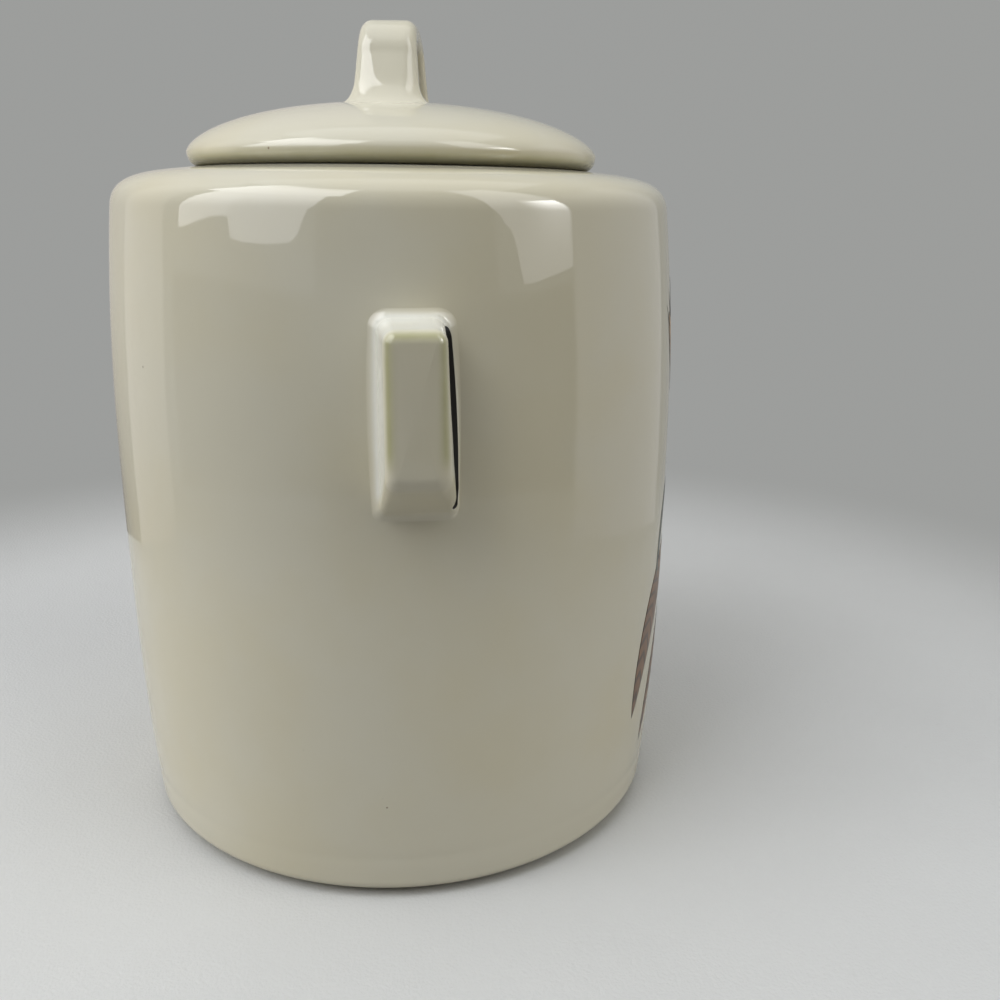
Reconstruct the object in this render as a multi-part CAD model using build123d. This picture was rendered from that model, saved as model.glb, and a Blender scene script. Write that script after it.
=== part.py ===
"""Biscuit jar of glazed earthenware: a slip-cast barrel with two luted-on lug handles, and a loose
domed lid that carries a strap loop.

Millimetres. The jar stands on z = 0 with its axis on Z. Its front faces -Y, and the lug handles stand
out along -X (left) and +X (right). Each sub-part is written to parts/NODE.step.
"""

import os
from math import cos, pi, sin

from build123d import *

# Barrel, outside
WAIST_RADIUS = 89.7  # the widest radius, at WAIST_Z
WAIST_Z = 110.0
FOOT_CORNER_RADIUS = 86.4  # where the side meets the rounded corner above the foot
FOOT_CORNER_Z = 6.2
SHOULDER_RADIUS = 85.5  # where the side meets the rounded shoulder
SHOULDER_Z = 193.2
TOP_Z = 203.4  # the flat seat round the mouth
SEAT_RADIUS = 68.7  # where the rounded shoulder meets the flat seat
FOOT_RADIUS = 75.6  # outer edge of the foot ring's contact face
FOOT_INNER_RADIUS = 66.0
FOOT_RECESS = 2.2  # depth of the bare clay recess under the base

# Barrel, inside
WALL = 5.6
FLOOR = 7.0
SHOULDER_WALL = 6.4
FLOOR_CORNER = 12.0  # radius between the floor and the side inside
NECK_CORNER = 9.0  # radius under the shoulder inside
MOUTH_RADIUS = 56.0
LIP_ROUND = 1.6

# Lug handles
LUG_FACE_RADIUS = 106.0  # distance of the grip face from the jar's axis
LUG_FACE_WIDTH = 15.0
LUG_FACE_LOW, LUG_FACE_HIGH = 132.3, 167.0
LUG_ROOT_RADIUS = 83.0  # the drafted lug is lofted from here, inside the wall
LUG_ROOT_WIDTH = 19.4
LUG_ROOT_LOW, LUG_ROOT_HIGH = 115.2, 169.2
LUG_FACE_CORNER, LUG_ROOT_CORNER = 3.0, 5.0
LUG_EDGE_ROUND = 2.2  # round of the grip face's rim
LUG_FLARE = 4.0  # fillet that runs the lug out onto the barrel
SLOT_BACK_RADIUS = 91.3  # finger slot: its floor, just proud of the barrel
SLOT_FRONT_RADIUS = 100.5  # its outer wall, behind the grip face
SLOT_DEPTH_BEHIND_CENTRE = 4.4  # the slot enters at the front flank and is closed at the rear one
SLOT_LOW_BACK, SLOT_LOW_FRONT = 122.0, 139.0
SLOT_HIGH_BACK, SLOT_HIGH_FRONT = 166.8, 164.6
SLOT_TIP_ROUND = 0.9  # at the slot's narrow lower end
SLOT_ROUND = 2.6

# Lid
LID_RADIUS = 62.65  # widest radius of the bull-nosed rim, at LID_RIM_Z
LID_RIM_Z = 209.4
LID_TOP_Z = 222.7
DOME_POWER_R, DOME_POWER_Z = 2.1, 1.6  # how square the dome's outline is across and up
LID_SEAT_RADIUS = 59.0  # outer edge of the lid's flat seat face
LID_UNDER_TOP_Z = 217.0  # top of the hollow under the dome
LID_UNDER_EDGE_Z = 208.4
LID_UNDER_CORNER = 4.0
SKIRT_RADIUS = 54.8  # locating skirt, a loose fit in the mouth
SKIRT_INNER_RADIUS = 49.8
SKIRT_LOW_Z = 195.6
SKIRT_ROUND = 1.8

# Strap loop on the lid
LOOP_TURN = -6.0  # degrees about Z: the loose lid sits a little askew of the lugs
LOOP_BURIED_Z = 212.0  # the legs are drawn down to here and trimmed by the dome
LOOP_TOP_Z = 246.3
LOOP_CROWN = 0.9  # how far the top of the loop rises between its corners
LOOP_FOOT_HALF, LOOP_HEAD_HALF = 26.9, 24.2  # half lengths outside, at the bottom and the top
LOOP_GAP_FOOT_HALF, LOOP_GAP_HEAD_HALF = 18.4, 17.0  # the same for the finger gap
LOOP_GAP_TOP_Z = 239.2
LOOP_CORNER, LOOP_GAP_CORNER = 11.0, 6.5
LOOP_FOOT_WIDTH, LOOP_HEAD_WIDTH = 20.3, 15.8
LOOP_EDGE_ROUND = 2.7
LOOP_FLARE = 2.6

FEATHER = 0.12  # a flare is drawn tangent to a surface this far below the one that it seats on


def side_radius(z):
    """Outside radius of the barrel: the widest radius less a swell that grows as a power of the
    distance from the waist, slower above it than below it."""
    if z < WAIST_Z:
        share = (WAIST_Z - z) / (WAIST_Z - FOOT_CORNER_Z)
        return WAIST_RADIUS - (WAIST_RADIUS - FOOT_CORNER_RADIUS) * share**3
    share = (z - WAIST_Z) / (SHOULDER_Z - WAIST_Z)
    return WAIST_RADIUS - (WAIST_RADIUS - SHOULDER_RADIUS) * share**2.3


def side_line(low, high, inset, count=5):
    """Smooth line up the barrel's side, moved inwards by a wall thickness."""
    heights = [low + (high - low) * i / (count - 1) for i in range(count)]
    return Spline(*[(side_radius(z) - inset, z) for z in heights])


def spun(lines):
    """Solid of revolution about Z from lines drawn in the X-Z plane."""
    return revolve(Plane.XZ * make_face(Curve() + lines), Axis.Z)


def barrel_skin():
    """Lines of the barrel's outside, from the foot ring's edge up to the flat seat."""
    foot = EllipticalCenterArc(
        (FOOT_RADIUS, FOOT_CORNER_Z), FOOT_CORNER_RADIUS - FOOT_RADIUS, FOOT_CORNER_Z, -90, arc_size=90
    )
    side = side_line(FOOT_CORNER_Z, SHOULDER_Z, 0)
    shoulder = EllipticalCenterArc(
        (SEAT_RADIUS, SHOULDER_Z), SHOULDER_RADIUS - SEAT_RADIUS, TOP_Z - SHOULDER_Z, 0, arc_size=90
    )
    return [foot, side, shoulder]


def barrel_envelope():
    """The barrel as if it were solid."""
    close = Polyline((SEAT_RADIUS, TOP_Z), (0, TOP_Z), (0, 0), (FOOT_RADIUS, 0))
    return spun(barrel_skin() + [close])


def barrel_side(inset):
    """The solid barrel between its two rounded corners, set in a little, for flaring the lugs onto."""
    low, high = FOOT_CORNER_Z, SHOULDER_Z
    close = Polyline((SHOULDER_RADIUS - inset, high), (0, high), (0, low), (FOOT_CORNER_RADIUS - inset, low))
    return spun([side_line(low, high, inset), close])


def cavity():
    """The space inside the barrel below the mouth."""
    low, high = FOOT_RECESS + FLOOR, TOP_Z - SHOULDER_WALL
    side_low, side_high = low + FLOOR_CORNER, high - NECK_CORNER
    radius_low, radius_high = side_radius(side_low) - WALL, side_radius(side_high) - WALL
    lines = [
        Polyline((0, high), (0, low), (radius_low - FLOOR_CORNER, low)),
        RadiusArc((radius_low - FLOOR_CORNER, low), (radius_low, side_low), -FLOOR_CORNER),
        side_line(side_low, side_high, WALL),
        RadiusArc((radius_high, side_high), (radius_high - NECK_CORNER, high), -NECK_CORNER),
        Line((radius_high - NECK_CORNER, high), (0, high)),
    ]
    return spun(lines)


def jar_body():
    """Barrel with its cavity, mouth and the recess inside the foot ring."""
    mouth = Pos(0, 0, TOP_Z) * Cylinder(MOUTH_RADIUS, 4 * SHOULDER_WALL)
    recess = Pos(0, 0, FOOT_RECESS / 2) * Cone(FOOT_INNER_RADIUS, FOOT_INNER_RADIUS - FOOT_RECESS, FOOT_RECESS)
    body = barrel_envelope() - cavity() - mouth - recess
    lips = body.edges().filter_by(GeomType.CIRCLE).filter_by(lambda e: abs(e.radius - MOUTH_RADIUS) < 0.01)
    return fillet(lips, LIP_ROUND)


def lug_section(radius, width, low, high, corner):
    """Rounded rectangle across the left lug at a distance from the jar's axis."""
    plane = Plane(origin=(-radius, 0, (low + high) / 2), x_dir=(0, 1, 0), z_dir=(-1, 0, 0))
    return plane * RectangleRounded(width, high - low, corner)


def finger_slot():
    """Tall slot behind the grip face: it enters through the front flank and stops short of the rear
    one, and its ends follow the lug's top and its slanted underside."""
    outline = make_face(
        Polyline(
            (-SLOT_BACK_RADIUS, SLOT_HIGH_BACK),
            (-SLOT_FRONT_RADIUS, SLOT_HIGH_FRONT),
            (-SLOT_FRONT_RADIUS, SLOT_LOW_FRONT),
            (-SLOT_BACK_RADIUS, SLOT_LOW_BACK),
            close=True,
        )
    )
    tip, *corners = outline.vertices().sort_by(Axis.Y)
    outline = fillet(corners, SLOT_ROUND)
    outline = fillet(outline.vertices().sort_by(Axis.Y)[0], SLOT_TIP_ROUND)
    return extrude(Plane.XZ.offset(-SLOT_DEPTH_BEHIND_CENTRE) * outline, 30)


def side_handle_left():
    """Drafted lug with a filleted grip face, flared onto the barrel and seated on its curve."""
    lug = loft(
        [
            lug_section(LUG_ROOT_RADIUS, LUG_ROOT_WIDTH, LUG_ROOT_LOW, LUG_ROOT_HIGH, LUG_ROOT_CORNER),
            lug_section(LUG_FACE_RADIUS, LUG_FACE_WIDTH, LUG_FACE_LOW, LUG_FACE_HIGH, LUG_FACE_CORNER),
        ]
    )
    lug = fillet(lug.faces().sort_by(Axis.X)[0].edges(), LUG_EDGE_ROUND)
    joined = barrel_side(FEATHER) + lug
    root = joined.edges().filter_by(lambda e: is_lug_root(e.center()))
    return fillet(root, LUG_FLARE) - barrel_envelope() - finger_slot()


def is_lug_root(point):
    """True at the line where the left lug meets the barrel's side."""
    near = abs(point.Y) < LUG_ROOT_WIDTH and LUG_ROOT_LOW - 5 < point.Z < LUG_ROOT_HIGH + 5
    distance = (point.X**2 + point.Y**2) ** 0.5
    return near and point.X < 0 and abs(distance - side_radius(point.Z)) < 1.5


def dome_line(count=7):
    """Outside of the lid from its apex to its rim: a superellipse in radius and height."""
    points = []
    for i in range(count):
        turn = pi / 2 * i / (count - 1)
        radius = LID_RADIUS * sin(turn) ** (2 / DOME_POWER_R)
        height = LID_RIM_Z + (LID_TOP_Z - LID_RIM_Z) * cos(turn) ** (2 / DOME_POWER_Z)
        points.append((radius, height))
    return Spline(*points, tangents=[(1, 0), (0, -1)])


def lid_skin():
    """Lines of the lid's outside, from the apex round the bull-nosed rim to the flat seat face."""
    rim = EllipticalCenterArc(
        (LID_SEAT_RADIUS, LID_RIM_Z), LID_RADIUS - LID_SEAT_RADIUS, LID_RIM_Z - TOP_Z, -90, arc_size=90
    )
    return [dome_line(), rim]


def lid_envelope():
    """The lid as if it were solid, for seating the strap loop."""
    return spun(lid_skin() + [Polyline((LID_SEAT_RADIUS, TOP_Z), (0, TOP_Z), (0, LID_TOP_Z))])


def lid_hollow():
    """The space under the dome, inside the skirt: a shallow arc over straight sides."""
    quarter_drop = (LID_UNDER_TOP_Z - LID_UNDER_EDGE_Z) / 4
    ceiling = ThreePointArc(
        (0, LID_UNDER_TOP_Z),
        (SKIRT_INNER_RADIUS / 2, LID_UNDER_TOP_Z - quarter_drop),
        (SKIRT_INNER_RADIUS, LID_UNDER_EDGE_Z),
    )
    low = SKIRT_LOW_Z - SKIRT_ROUND
    sides = Polyline(
        (SKIRT_INNER_RADIUS, LID_UNDER_EDGE_Z), (SKIRT_INNER_RADIUS, low), (0, low), (0, LID_UNDER_TOP_Z)
    )
    outline = make_face(Curve() + [ceiling, sides])
    corner = outline.vertices().filter_by(lambda v: v.X > 1 and v.Y > low + 1)
    return revolve(Plane.XZ * fillet(corner, LID_UNDER_CORNER), Axis.Z)


def lid():
    """Domed cap, hollow underneath, with the locating skirt that drops into the mouth."""
    skirt_height = TOP_Z - SKIRT_LOW_Z
    skirt = Pos(0, 0, SKIRT_LOW_Z + skirt_height / 2) * Cylinder(SKIRT_RADIUS, skirt_height)
    skirt = fillet(skirt.edges().filter_by(GeomType.CIRCLE).sort_by(Axis.Z)[0], SKIRT_ROUND)
    return lid_envelope() + skirt - lid_hollow()


def loop_outline(foot_half, head_half, head_z, crown, corner):
    """Upright trapezium with a crowned top and rounded upper corners, in the X-Z plane."""
    face = make_face(
        Curve()
        + [
            Polyline(
                (head_half, head_z - crown),
                (foot_half, LOOP_BURIED_Z),
                (-foot_half, LOOP_BURIED_Z),
                (-head_half, head_z - crown),
            ),
            ThreePointArc((-head_half, head_z - crown), (0, head_z), (head_half, head_z - crown)),
        ]
    )
    return fillet(face.vertices().sort_by(Axis.Y)[-2:], corner)


def lid_handle():
    """Strap loop: an arch whose strap narrows upwards, with soft edges, flared onto the dome."""
    outside = loop_outline(LOOP_FOOT_HALF, LOOP_HEAD_HALF, LOOP_TOP_Z, LOOP_CROWN, LOOP_CORNER)
    gap = loop_outline(LOOP_GAP_FOOT_HALF, LOOP_GAP_HEAD_HALF, LOOP_GAP_TOP_Z, LOOP_CROWN, LOOP_GAP_CORNER)
    arch = extrude(Plane.XZ * (outside - gap), LOOP_FOOT_WIDTH, both=True)
    foot_half, head_half = LOOP_FOOT_WIDTH / 2, LOOP_HEAD_WIDTH / 2
    taper = make_face(
        Polyline(
            (-foot_half, LOOP_BURIED_Z - 1),
            (foot_half, LOOP_BURIED_Z - 1),
            (head_half, LOOP_TOP_Z + 1),
            (-head_half, LOOP_TOP_Z + 1),
            close=True,
        )
    )
    strap = arch & extrude(Plane.YZ * taper, 2 * LOOP_FOOT_HALF, both=True)
    flanks = strap.faces().sort_by(Axis.Y)
    rims = flanks[0].edges() + flanks[-1].edges()
    strap = fillet(rims.filter_by(lambda e: e.center().Z > LOOP_BURIED_Z + 1), LOOP_EDGE_ROUND)
    dome = lid_envelope() & Pos(0, 0, LID_TOP_Z) * Cylinder(LID_RADIUS - 15, 2 * (LID_TOP_Z - LID_RIM_Z))
    joined = Pos(0, 0, -FEATHER) * dome + strap
    root = joined.edges().filter_by(lambda e: is_loop_root(e.center()))
    return Rot(0, 0, LOOP_TURN) * (fillet(root, LOOP_FLARE) - lid_envelope())


def is_loop_root(point):
    """True at the lines where the loop's legs meet the lid's dome."""
    distance = (point.X**2 + point.Y**2) ** 0.5
    near = LOOP_GAP_HEAD_HALF - 1 < distance < LOOP_FOOT_HALF + LOOP_FOOT_WIDTH / 2
    return near and abs(point.Y) < LOOP_FOOT_WIDTH / 2 + 1 and 219.0 < point.Z < 223.5


def main():
    os.makedirs("parts", exist_ok=True)
    left = side_handle_left()
    nodes = {
        "jar_body": jar_body(),
        "side_handle_left": left,
        "side_handle_right": mirror(left, Plane.YZ),
        "lid": lid(),
        "lid_handle": lid_handle(),
    }
    for name, part in nodes.items():
        export_step(part, f"parts/{name}.step")


if __name__ == "__main__":
    main()
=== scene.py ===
import bpy
import numpy as np
from mathutils import Matrix


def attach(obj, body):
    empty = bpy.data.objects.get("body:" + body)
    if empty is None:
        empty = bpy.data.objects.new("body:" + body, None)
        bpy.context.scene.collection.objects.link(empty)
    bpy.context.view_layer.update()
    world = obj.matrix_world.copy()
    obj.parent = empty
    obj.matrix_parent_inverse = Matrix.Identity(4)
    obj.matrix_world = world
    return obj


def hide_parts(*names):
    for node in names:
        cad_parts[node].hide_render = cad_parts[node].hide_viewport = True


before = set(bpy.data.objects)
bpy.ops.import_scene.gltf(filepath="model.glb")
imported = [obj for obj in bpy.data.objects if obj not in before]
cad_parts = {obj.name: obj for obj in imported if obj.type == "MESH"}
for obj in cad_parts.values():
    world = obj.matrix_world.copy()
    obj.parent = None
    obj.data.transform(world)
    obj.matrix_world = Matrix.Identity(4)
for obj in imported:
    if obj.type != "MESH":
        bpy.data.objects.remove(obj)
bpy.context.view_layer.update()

# ---- The eye ----------------------------------------------------------------------------------------
# A wide lens on the jar's left, a third of a metre from its axis and a little below the level of its
# seat, tilted down and turned a few degrees towards the front.
EYE = np.array((-0.3334, 0.0128, 0.1958))
HEADING, TILT, ROLL = np.radians((-8.08, 16.71, 0.64))  # heading is from +X, positive towards +Y

ahead = np.array((np.cos(HEADING) * np.cos(TILT), np.sin(HEADING) * np.cos(TILT), -np.sin(TILT)))
level = np.array((np.sin(HEADING), -np.cos(HEADING), 0.0))
upright = np.cross(level, ahead)
right = level * np.cos(ROLL) + upright * np.sin(ROLL)
above = upright * np.cos(ROLL) - level * np.sin(ROLL)

camera = bpy.data.objects.new("camera", bpy.data.cameras.new("camera"))
camera.data.sensor_width = 36.0
camera.data.lens = 36.0
camera.data.clip_start, camera.data.clip_end = 0.01, 50.0
camera.matrix_world = Matrix([(*row, place) for row, place in zip(np.stack((right, above, -ahead)).T, EYE)]
                             + [(0, 0, 0, 1)])
bpy.context.scene.collection.objects.link(camera)
bpy.context.scene.camera = camera
bpy.context.scene.view_settings.view_transform = "Standard"


# ---- The barrel -------------------------------------------------------------------------------------
# Slip-cast earthenware under an ivory gloss glaze. One shell: outside, shoulder, nearly flat seat,
# mouth and inside. It stands on a bare clay foot ring round a glazed recess. Sizes are in millimetres.
WAIST_RADIUS, WAIST_Z = 89.7, 110.0
FOOT_CORNER_RADIUS, FOOT_CORNER_Z = 86.4, 6.2
SHOULDER_RADIUS, SHOULDER_Z = 85.5, 193.2
SEAT_RADIUS, SEAT_Z = 68.7, 203.4
SEAT_RISE = 1.2  # from the shoulder to the mouth
SIDE_LEAN = 0.116  # how far the side leans in at the shoulder's start, per millimetre up
FOOT_RADIUS, FOOT_INNER_RADIUS, FOOT_RECESS = 75.6, 66.0, 2.2
WALL, SHOULDER_WALL, FLOOR_TOP = 5.6, 6.4, 9.2
MOUTH_RADIUS, LIP_ROUND = 56.0, 1.6
NECK_CORNER, FLOOR_CORNER = 9.0, 12.0
CREASE_Z, CREASE_DEPTH, CREASE_REACH = 14.0, 0.10, 1.6  # faint mould line above the foot
GLAZE_LINE_Z = 0.9  # the glaze is wiped off below this
BARREL_COLUMNS = 288


def side_radius(z):
    """The widest radius less a swell: the cube of the distance below the waist, or its power 2.3
    above it."""
    below = np.clip(WAIST_Z - z, 0, None) / (WAIST_Z - FOOT_CORNER_Z)
    over = np.clip(z - WAIST_Z, 0, None) / (SHOULDER_Z - WAIST_Z)
    return (WAIST_RADIUS - (WAIST_RADIUS - FOOT_CORNER_RADIUS) * below**3
            - (WAIST_RADIUS - SHOULDER_RADIUS) * over**2.3)


def straight(start, end, steps):
    """Points of a line from start to end, the last one left out."""
    share = np.arange(steps)[:, None] / steps
    return np.array(start) * (1 - share) + np.array(end) * share


def bend(centre, size, start, stop, steps):
    """Points of an elliptical arc between two angles in degrees, the last one left out: centre plus
    size times the cosine and the sine."""
    angle = np.radians(np.linspace(start, stop, steps + 1)[:-1])[:, None]
    return np.array(centre) + np.array(size) * np.hstack((np.cos(angle), np.sin(angle)))


def blend(start, stop, start_way, stop_way, fullness, steps):
    """Points of a cubic Bezier curve that leaves one point along a way and reaches the other along
    another, the last one left out. Its handles end at this share of the way to where the two ways
    cross."""
    start, stop = np.array(start), np.array(stop)
    first, last = np.linalg.solve(np.stack((start_way, stop_way), axis=-1), stop - start)
    share = (np.arange(steps) / steps)[:, None]
    handles = start + fullness * first * np.array(start_way), stop - fullness * last * np.array(stop_way)
    return (start * (1 - share) ** 3 + 3 * handles[0] * share * (1 - share) ** 2
            + 3 * handles[1] * share**2 * (1 - share) + stop * share**3)


def turned(profile, columns, wobble=None):
    """The profile's radius and height carried round Z. The wobble is a function of the angle and the
    height, in millimetres, that a hand-finished shape departs from round."""
    angle = np.arange(columns) * 2 * np.pi / columns
    radius, height = profile[:, :1], profile[:, 1:]
    if wobble is not None:
        radius = radius + wobble(angle[None], height) * np.clip(radius / 30, 0, 1)
    return np.stack((radius * np.cos(angle), radius * np.sin(angle), height + 0 * angle), axis=-1)


def skin(name, points, marks=None):
    """Mesh over a grid of points in millimetres. Neighbours share a quad, the last column joins the
    first, and a row whose points all coincide is a pole. Two poles in a row end one closed skin and
    begin the next. Marks are numbers kept on each point."""
    rows, columns = points.shape[:2]
    index = np.arange(rows * columns).reshape(rows, columns)
    pole = np.ptp(points, axis=1).max(axis=1) < 1e-9
    index[pole] = index[pole, :1]
    near, far = index[:-1], index[1:]
    quads = np.stack((near, np.roll(near, -1, 1), np.roll(far, -1, 1), far), axis=-1).reshape(-1, 4)
    used, corners = np.unique(quads, return_inverse=True)
    corners = corners.reshape(-1, 4)
    kept = corners != np.roll(corners, 1, axis=1)
    kept[kept.sum(axis=1) < 3] = False
    sizes = kept.sum(axis=1)
    sizes = sizes[sizes > 0]
    mesh = bpy.data.meshes.new(name)
    mesh.vertices.add(len(used))
    mesh.vertices.foreach_set("co", (points.reshape(-1, 3)[used] / 1000).ravel())
    mesh.loops.add(int(kept.sum()))
    mesh.loops.foreach_set("vertex_index", corners[kept])
    mesh.polygons.add(len(sizes))
    mesh.polygons.foreach_set("loop_start", np.cumsum(sizes) - sizes)
    mesh.polygons.foreach_set("use_smooth", np.ones(len(sizes), bool))
    for mark, values in (marks or {}).items():
        layer = mesh.attributes.new(mark, "FLOAT", "POINT")
        values = np.broadcast_to(values, (rows, columns)).ravel()[used]
        layer.data.foreach_set("value", values.astype(np.float32))
    mesh.update(calc_edges=True)
    piece = bpy.data.objects.new(name, mesh)
    bpy.context.scene.collection.objects.link(piece)
    return piece


def hand_finish(angle, height):
    """Sponging leaves the wall a tenth of a millimetre out of round: two slow waves round the jar that
    drift with height."""
    return 0.09 * np.sin(2 * angle + 0.7 + height / 90) + 0.05 * np.sin(3 * angle + 2.1 - height / 60)


def wall_radius(z):
    """Outside radius of the side before its hand finish: the swell less a shallow bell at the mould
    line."""
    return side_radius(z) - CREASE_DEPTH * np.exp(-(((z - CREASE_Z) / CREASE_REACH) ** 2))


inner_low, inner_high = FLOOR_TOP + FLOOR_CORNER, SEAT_Z - SHOULDER_WALL - NECK_CORNER
ceiling_z, lip_z = SEAT_Z - SHOULDER_WALL, SEAT_Z + SEAT_RISE - LIP_ROUND
seat_way = (MOUTH_RADIUS + LIP_ROUND - SEAT_RADIUS, SEAT_RISE)
outside_z = np.linspace(FOOT_CORNER_Z, SHOULDER_Z, 150)[:-1]
inside_z = np.linspace(inner_high, inner_low, 40)[:-1]
neck_radius = side_radius(np.array(inner_high)) - WALL - NECK_CORNER
floor_radius = side_radius(np.array(inner_low)) - WALL - FLOOR_CORNER
barrel_line = np.vstack((
    straight((0, FOOT_RECESS), (FOOT_INNER_RADIUS - 2, FOOT_RECESS), 8),
    bend((FOOT_INNER_RADIUS - 2, 0.6), (1.6, 1.6), 90, 0, 5),
    bend((FOOT_INNER_RADIUS + 0.2, 0.6), (0.6, 0.6), 180, 270, 4),
    straight((FOOT_INNER_RADIUS + 0.2, 0), (FOOT_RADIUS, 0), 6),
    bend((FOOT_RADIUS, FOOT_CORNER_Z), (FOOT_CORNER_RADIUS - FOOT_RADIUS, FOOT_CORNER_Z), -90, 0, 16),
    np.stack((wall_radius(outside_z), outside_z), axis=-1),
    blend((SHOULDER_RADIUS, SHOULDER_Z), (SEAT_RADIUS, SEAT_Z), (-SIDE_LEAN, 1.0), seat_way, 0.73, 40),
    straight((SEAT_RADIUS, SEAT_Z), (MOUTH_RADIUS + LIP_ROUND, SEAT_Z + SEAT_RISE), 8),
    bend((MOUTH_RADIUS + LIP_ROUND, lip_z), (LIP_ROUND, LIP_ROUND), 90, 180, 6),
    straight((MOUTH_RADIUS, lip_z), (MOUTH_RADIUS, ceiling_z + LIP_ROUND), 3),
    bend((MOUTH_RADIUS + LIP_ROUND, ceiling_z + LIP_ROUND), (LIP_ROUND, LIP_ROUND), 180, 270, 6),
    straight((MOUTH_RADIUS + LIP_ROUND, ceiling_z), (neck_radius, ceiling_z), 5),
    bend((neck_radius, inner_high), (NECK_CORNER, NECK_CORNER), 90, 0, 8),
    np.stack((side_radius(inside_z) - WALL, inside_z), axis=-1),
    bend((floor_radius, inner_low), (FLOOR_CORNER, FLOOR_CORNER), 0, -90, 10),
    straight((floor_radius, FLOOR_TOP), (0, FLOOR_TOP), 12),
    np.array([(0, FLOOR_TOP)]),
))
bare_clay = (barrel_line[:, 1] < GLAZE_LINE_Z) & (barrel_line[:, 0] < FOOT_CORNER_RADIUS)
barrel = skin("barrel", turned(barrel_line, BARREL_COLUMNS, hand_finish), {"bare": bare_clay[:, None]})


class Wire:
    """An output socket in a material's node tree. Sums and products of wires and numbers add Math
    nodes to the tree."""

    def __init__(self, tree, socket=None):
        self.tree, self.socket = tree, socket

    def node(self, kind, settings=None, inputs=None, out=0):
        """Adds a node: its settings first, or a ramp's stops, then its inputs' values or wires."""
        made = self.tree.nodes.new("ShaderNode" + kind)
        for key, value in (settings or {}).items():
            if key == "stops":
                ramp = made.color_ramp.elements
                while len(ramp) < len(value):
                    ramp.new(0.5)
                for stop, (place, colour) in zip(ramp, value):
                    stop.position, stop.color = place, (*colour, 1.0)
            else:
                setattr(made, key, value)
        for key, value in (inputs or {}).items():
            if isinstance(value, Wire):
                self.tree.links.new(value.socket, made.inputs[key])
            else:
                made.inputs[key].default_value = value
        return Wire(self.tree, made.outputs[out] if made.outputs else None)

    def maths(self, operation, *values):
        return self.node("Math", {"operation": operation}, dict(enumerate(values)))

    def __add__(self, other):
        return self.maths("ADD", self, other)

    def __sub__(self, other):
        return self.maths("SUBTRACT", self, other)

    def __rsub__(self, other):
        return self.maths("SUBTRACT", other, self)

    def __mul__(self, other):
        return self.maths("MULTIPLY", self, other)

    __radd__, __rmul__ = __add__, __mul__

    def sine(self):
        return self.maths("SINE", self)

    def step(self, low, high):
        """Smooth step from 0 at low to 1 at high."""
        return self.node("MapRange", {"interpolation_type": "SMOOTHSTEP"}, {0: self, 1: low, 2: high})

    def noise(self, place, scale, detail=2.0):
        """Cloudy noise around 0.5 with this many features per metre."""
        return self.node("TexNoise", {}, {"Vector": place, "Scale": scale, "Detail": detail})

    def mix(self, factor, first, second):
        """Colour between two colours, (r, g, b) or wires."""
        ends = [end if isinstance(end, Wire) else (*end, 1.0) for end in (first, second)]
        return self.node("Mix", {"data_type": "RGBA"}, {0: factor, 6: ends[0], 7: ends[1]}, 2)

    def mark(self, name):
        """A number kept on the mesh's points."""
        return self.node("Attribute", {"attribute_name": name}, {}, 2)


IVORY = (0.700, 0.664, 0.545)
IVORY_POOLED = (0.690, 0.640, 0.490)  # where the glaze ran thick
IVORY_THIN = (0.520, 0.500, 0.300)  # over a sharp edge, where the body shows through
PAINTED_SHEEN_WHITE = (0.830, 0.830, 0.780)  # painted sheen: a whiter tone for the bright light that the lugs' flanks reflect
BODY_SPECK = (0.180, 0.110, 0.055)
BARE_CLAY, BARE_CLAY_DARK = (0.560, 0.490, 0.390), (0.448, 0.392, 0.312)
# painted shade: near black, laid deep in the lugs' slots, under the lid's rim and inside the strap loop
PAINTED_SHADE_DARK = (0.012, 0.010, 0.007)
GLAZE_IOR = 1.6


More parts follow.
